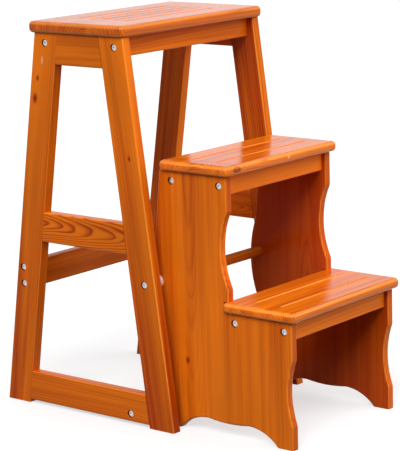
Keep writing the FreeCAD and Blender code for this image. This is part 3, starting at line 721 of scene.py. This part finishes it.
# %% Seat and treads
tread_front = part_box("middle_tread")[0].y
EDGE_HEIGHT = 0.4262
TREAD_KNOT = [((-0.1212, tread_front, EDGE_HEIGHT), 0.0045, FRONT)]
TREAD_SMEAR = [((0.0127, tread_front, EDGE_HEIGHT), 0.004, 0.003)]
TREADS = {
    # its cut, its stain and its lacquer's roughness
    "seat_board": (Cut((-0.025, 0.022), lean=0.03),
                   Stain(contrast=0.65, tone=0.88, red=0.16, end_stain_and_highlight=-0.05,
                         edge_stain_and_light=-0.15, rubbed_and_highlight=0.60), 0.15),
    "middle_tread": (Cut((-0.010, 0.030), pitch=0.0036, lean=0.02, warp=0.003,
                         knots=TREAD_KNOT),
                     Stain(contrast=0.6, tone=0.94, end_stain_and_highlight=-0.28, edge_stain_and_light=-0.10,
                           rubbed_and_highlight=0.8, mottle=1.5, knot_edge=0.8, knot_core=0.35,
                           smears=TREAD_SMEAR), 0.14),
    "lower_tread": (Cut((0.006, 0.024), lean=0.02, warp=0.004),
                    Stain(contrast=0.5, tone=0.91, end_stain_and_highlight=-0.28, edge_stain_and_light=-0.10,
                          rubbed_and_highlight=0.8, mottle=1.5), 0.17),
}
for name, (cut, stain, sheen) in TREADS.items():
    dress(name, pine(name, TOP, cut, stain, THICK_LACQUER, sheen))
print("boards that feet stand on:", ", ".join(TREADS))

# %% [markdown]
# The boards that run across the stool are plain. Their tones are painted for the light
# and shade that each one gets: the darker ones, such as the rear aprons, the brace and
# the rod, stand in shade and are redder too. The round rod is dressed with them.

# %% Aprons, brace, stretcher and rod
PLAIN_CUT = Cut((0.03, 0.045))
RED_OF_SHADE = 1.5
TONES_AND_SHADE_ACROSS = {
    "front_apron": 1.0,
    "rear_apron": 0.85,
    "rear_brace": 0.80,
    "floor_stretcher": 0.85,
    "middle_front_apron": 1.09,
    "middle_rear_apron": 0.85,
    "lower_front_apron": 1.07,
    "lower_rear_apron": 0.85,
    "pivot_rod": 0.78,
}
for name, tone in TONES_AND_SHADE_ACROSS.items():
    # Darker, redder tones paint the shade on the boards that stand in it.
    stain = Stain(contrast=0.35, tone=tone, red=(1 - tone) * RED_OF_SHADE)
    dress(name, pine(name, FRONT, PLAIN_CUT, stain))
print("boards dressed in pine:", sum("pine" in m.name for m in bpy.data.materials))

# %% [markdown]
# The hardware is small, but it is what the eye checks for truth: zinc-plated bolt heads
# and nuts, brass inserts in the rod, and milky nylon spacers at the pivot. Their finishes
# are a plain colour under a cloudy grit that is the same in all directions.

# %% Plated steel and nylon
PLATING_WAVES, PLATING_HEIGHT = 900, 0.00002
NYLON_COLOUR = (0.95, 0.945, 0.93)
NYLON_WAVES, NYLON_HEIGHT = 300, 0.00003
NYLON_ROUGHNESS = 0.42
NYLON_GLOW, GLOW_REACH = 0.15, 0.004  # light that goes in and comes out nearby


def grit(finish, waves, detail=2.0):
    """Even noise with this many waves to the metre."""
    return finish.noise(finish.times(finish.place, waves), detail)


def plated(name, colour, roughness):
    """Plated steel: bright, a little cloudy, with a fine grit in all directions."""
    finish = Finish(name)
    cloud = grit(finish, PLATING_WAVES, detail=4.0)
    return finish.surface({
        "Base Color": finish.times(colour, 1 + cloud * 0.06),
        "Metallic": 1.0,
        "Roughness": roughness + cloud * 0.05,
        "Normal": finish.bump(cloud, PLATING_HEIGHT),
    })


def moulded_nylon():
    """Moulded nylon: off-white, with a soft waxy grain."""
    finish = Finish("nylon")
    cloud = grit(finish, NYLON_WAVES)
    return finish.surface({
        "Base Color": finish.times(NYLON_COLOUR, 1 + cloud * 0.03),
        "Roughness": NYLON_ROUGHNESS + cloud * 0.05,
        "Subsurface Weight": NYLON_GLOW,
        "Subsurface Radius": (GLOW_REACH, GLOW_REACH, GLOW_REACH),
        "Normal": finish.bump(cloud, NYLON_HEIGHT),
    })


zinc = plated("zinc", (0.57, 0.56, 0.55), 0.25)
brass = plated("brass", (0.75, 0.55, 0.25), 0.35)
nylon = moulded_nylon()
print("hardware finishes:", zinc.name, brass.name, nylon.name)

# %% [markdown]
# The name of each piece of hardware says what it is, and so which finish it gets. The
# dowels, hidden in their joints, are pine too, and a little lighter than the boards.

# %% Bolts, nuts, screws, inserts, spacers and dowels
HARDWARE = {"_bolts": zinc, "_nuts": zinc, "_screws": zinc, "_inserts": brass,
            "_spacers": nylon}
DOWEL_CUT, DOWEL_STAIN = Cut((0.02, 0.03)), Stain(tone=1.1)
for name in nodes:
    for ending, material in HARDWARE.items():
        if name.endswith(ending):
            dress(name, material)
    if name.endswith("_dowels"):
        dress(name, pine(name, FRONT, DOWEL_CUT, DOWEL_STAIN))
print("pieces of hardware:", sum(name.endswith(tuple(HARDWARE)) for name in nodes))

# %% [markdown]
# The photograph is a cut-out on white. A pale floor takes the stool's soft shadow. What
# the camera sees of it is white, while the light that it throws back up stays low, as
# outdoors on dull ground, and the undersides stay dark.

# %% Floor
FLOOR_REACH = 60.0
FLOOR_BOUNCE = 0.10
FLOOR_PAINT, FLOOR_GLOW = 0.4, 0.6


def grey(level):
    """The same level in red, green and blue."""
    return (level, level, level)


def floor_material():
    """White to the camera and in reflections, dull to the light that falls on it."""
    finish = Finish("floor")
    to_camera = finish.node("ShaderNodeLightPath", {}, {}, "Is Camera Ray")
    seen = to_camera + to_camera.twin("Is Glossy Ray")
    seen = seen + to_camera.twin("Is Transmission Ray")
    return finish.surface({
        "Base Color": finish.mix(seen, grey(FLOOR_BOUNCE), grey(FLOOR_PAINT)),
        "Roughness": 0.9,
        "Specular IOR Level": 0.0,
        "Emission Color": finish.mix(seen, grey(0.0), grey(FLOOR_GLOW)),
        "Emission Strength": 1.0,
    })


corners = [(-FLOOR_REACH, -FLOOR_REACH, 0), (FLOOR_REACH, -FLOOR_REACH, 0),
           (FLOOR_REACH, FLOOR_REACH, 0), (-FLOOR_REACH, FLOOR_REACH, 0)]
floor_mesh = bpy.data.meshes.new("floor")
floor_mesh.from_pydata(corners, [], [(0, 1, 2, 3)])
floor_mesh.materials.append(floor_material())
floor = bpy.data.objects.new("floor", floor_mesh)
bpy.context.scene.collection.objects.link(floor)
print("floor: %g m wide" % (2 * FLOOR_REACH))

# %% [markdown]
# Three lamps stand far away, so their light is even: the key from the front left, high
# up, a wide fill from the front right, and a weak low one that keeps the back readable.
# Only the key shows in the lacquer, or the treads would flash white from behind.

# %% Lamps
def sunlight(name, azimuth, elevation, energy, spread):
    """An even light from far away, from this side and height in degrees. The spread is
    how wide the source looks, which softens the shadows."""
    side, height = math.radians(azimuth), math.radians(elevation)
    towards = Vector((math.sin(side) * math.cos(height),
                      -math.cos(side) * math.cos(height), math.sin(height)))
    lamp = bpy.data.lights.new(name, "SUN")
    lamp.energy = energy
    lamp.angle = math.radians(spread)
    stand = bpy.data.objects.new(name, lamp)
    stand.rotation_mode = "QUATERNION"
    stand.rotation_quaternion = towards.to_track_quat("Z", "Y")
    bpy.context.scene.collection.objects.link(stand)
    return stand


lamps = [sunlight("key", azimuth=-64, elevation=47, energy=2.65, spread=35),
         sunlight("fill", azimuth=22, elevation=34, energy=1.65, spread=60),
         sunlight("back", azimuth=150, elevation=15, energy=0.8, spread=60)]
for lamp in lamps[1:]:
    lamp.visible_glossy = False
print("lamps:", ", ".join(lamp.name for lamp in lamps))

# %% [markdown]
# The sky is the softest light of all. It is white where the camera or a reflection sees
# it, and much dimmer as a light, so that the wood keeps its colour in the shade.

# %% Sky
SKY_LEVEL = 0.26
world = bpy.data.worlds.new("sky")
world.use_nodes = True
bpy.context.scene.world = world
tree = world.node_tree
sky = tree.nodes["Background"]
sky.inputs["Color"].default_value = (*grey(1.0), 1.0)
rays = tree.nodes.new("ShaderNodeLightPath")
seen = tree.nodes.new("ShaderNodeMath")
seen.operation = "MAXIMUM"
tree.links.new(rays.outputs["Is Camera Ray"], seen.inputs[0])
tree.links.new(rays.outputs["Is Glossy Ray"], seen.inputs[1])
strength = tree.nodes.new("ShaderNodeMapRange")
strength.inputs["To Min"].default_value = SKY_LEVEL
strength.inputs["To Max"].default_value = 1.0
tree.links.new(seen.outputs[0], strength.inputs["Value"])
tree.links.new(strength.outputs[0], sky.inputs["Strength"])
bpy.context.scene.view_settings.view_transform = "Standard"
print("sky as a light: %.2f" % SKY_LEVEL)

# %% [markdown]
# Nothing was added to the stool outside the construction model, so the boxes of the
# dressed model and the construction model have to be the same.
